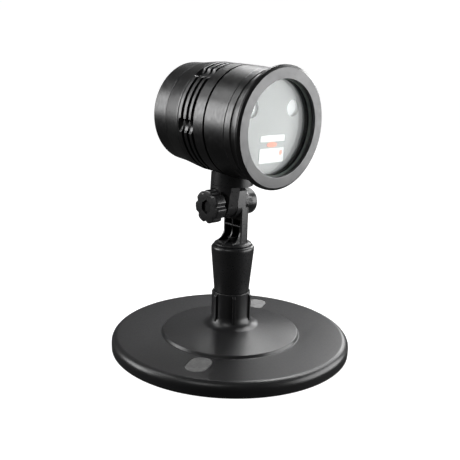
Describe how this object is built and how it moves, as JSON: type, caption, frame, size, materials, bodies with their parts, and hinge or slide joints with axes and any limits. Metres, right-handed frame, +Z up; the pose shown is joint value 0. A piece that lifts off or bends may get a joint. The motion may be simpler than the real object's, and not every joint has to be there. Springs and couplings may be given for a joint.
{
  "type": "table laser light projector",
  "caption": "Outdoor laser light projector: a finned round barrel with a glass window on a tilting knob bracket, standing on a weighted round base.",
  "frame": {"origin": "on the round base's axis, in the plane that the foot pads stand on", "axes": "+Z up, the light leaves towards -Y, the clamp knob is on the -X side"},
  "size_m": [0.1984, 0.1984, 0.2334],
  "materials": {
    "black_nylon": "moulded, satin",
    "patch": "matte, finely pebbled",
    "steel": "zinc plated",
    "black_anodised": "turned and black anodised, satin",
    "rubber": "matt",
    "grey_silicone": "translucent grey silicone",
    "glass": "clear, polished",
    "pale_paint": "pale grey, satin",
    "label_stock": "blank white",
    "alloy": "machined",
    "black_steel": "black oxide",
    "grating_film": "pale embossed film",
    "brass": "machined",
    "board": "solder mask",
    "component_black": "moulded"
  },
  "bodies": {
    "base": {"base_shell": "black_nylon", "blanking_cover_front": "patch", "blanking_cover_rear": "patch", "ballast_disc": "steel", "bottom_cover": "black_nylon", "cover_screw_1": "steel", "cover_screw_2": "steel", "cover_screw_3": "steel", "cover_screw_4": "steel", "foot_pad_1": "rubber", "foot_pad_2": "rubber", "foot_pad_3": "rubber", "foot_pad_4": "rubber"},
    "stem": {"stem_plug": "black_nylon"},
    "arm_bracket": {"arm": "black_nylon", "swivel_screw": "steel", "swivel_washer": "steel", "pivot_nut": "steel"},
    "knob_set": {"knob": "black_nylon", "pivot_bolt": "black_steel", "knob_washer": "black_steel"},
    "head": {"barrel": "black_anodised", "bezel": "black_anodised", "board_post_1": "alloy", "board_post_2": "alloy", "board_post_3": "alloy", "capacitor": "component_black", "collimator_lens_left": "glass", "collimator_lens_right": "glass", "diffraction_grating_left": "grating_film", "diffraction_grating_right": "grating_film", "driver_board": "board", "front_plate": "pale_paint", "gland_body": "black_nylon", "gland_cap": "black_nylon", "gland_locknut": "black_nylon", "gland_seal": "rubber", "grating_cell_left": "alloy", "grating_cell_right": "alloy", "label_plate": "label_stock", "laser_holder": "alloy", "laser_module_left": "brass", "laser_module_right": "brass", "rear_cap": "black_anodised", "rear_screw_1": "steel", "rear_screw_2": "steel", "rear_screw_3": "steel", "rear_seal": "rubber", "saddle": "black_nylon", "saddle_screw_front": "steel", "saddle_screw_rear": "steel", "tongue": "black_nylon", "transformer": "component_black", "window_glass": "glass", "window_seal_front": "grey_silicone", "window_seal_rear": "rubber"}
  },
  "joints": [
    {"name": "stem_lift", "type": "slide", "parent": "base", "child": "stem", "axis": [0, 0, 1], "range_m": [0, 0.03]},
    {"name": "arm_swivel", "type": "hinge", "parent": "stem", "child": "arm_bracket", "pos_m": [0, 0, 0.088], "axis": [0, 0, 1], "continuous": true},
    {"name": "head_tilt", "type": "hinge", "parent": "arm_bracket", "child": "head", "pos_m": [0, 0, 0.1228], "axis": [1, 0, 0], "range_deg": [-85, 85]},
    {"name": "knob_turn", "type": "hinge", "parent": "arm_bracket", "child": "knob_set", "pos_m": [0, 0, 0.1228], "axis": [1, 0, 0], "continuous": true}
  ]
}
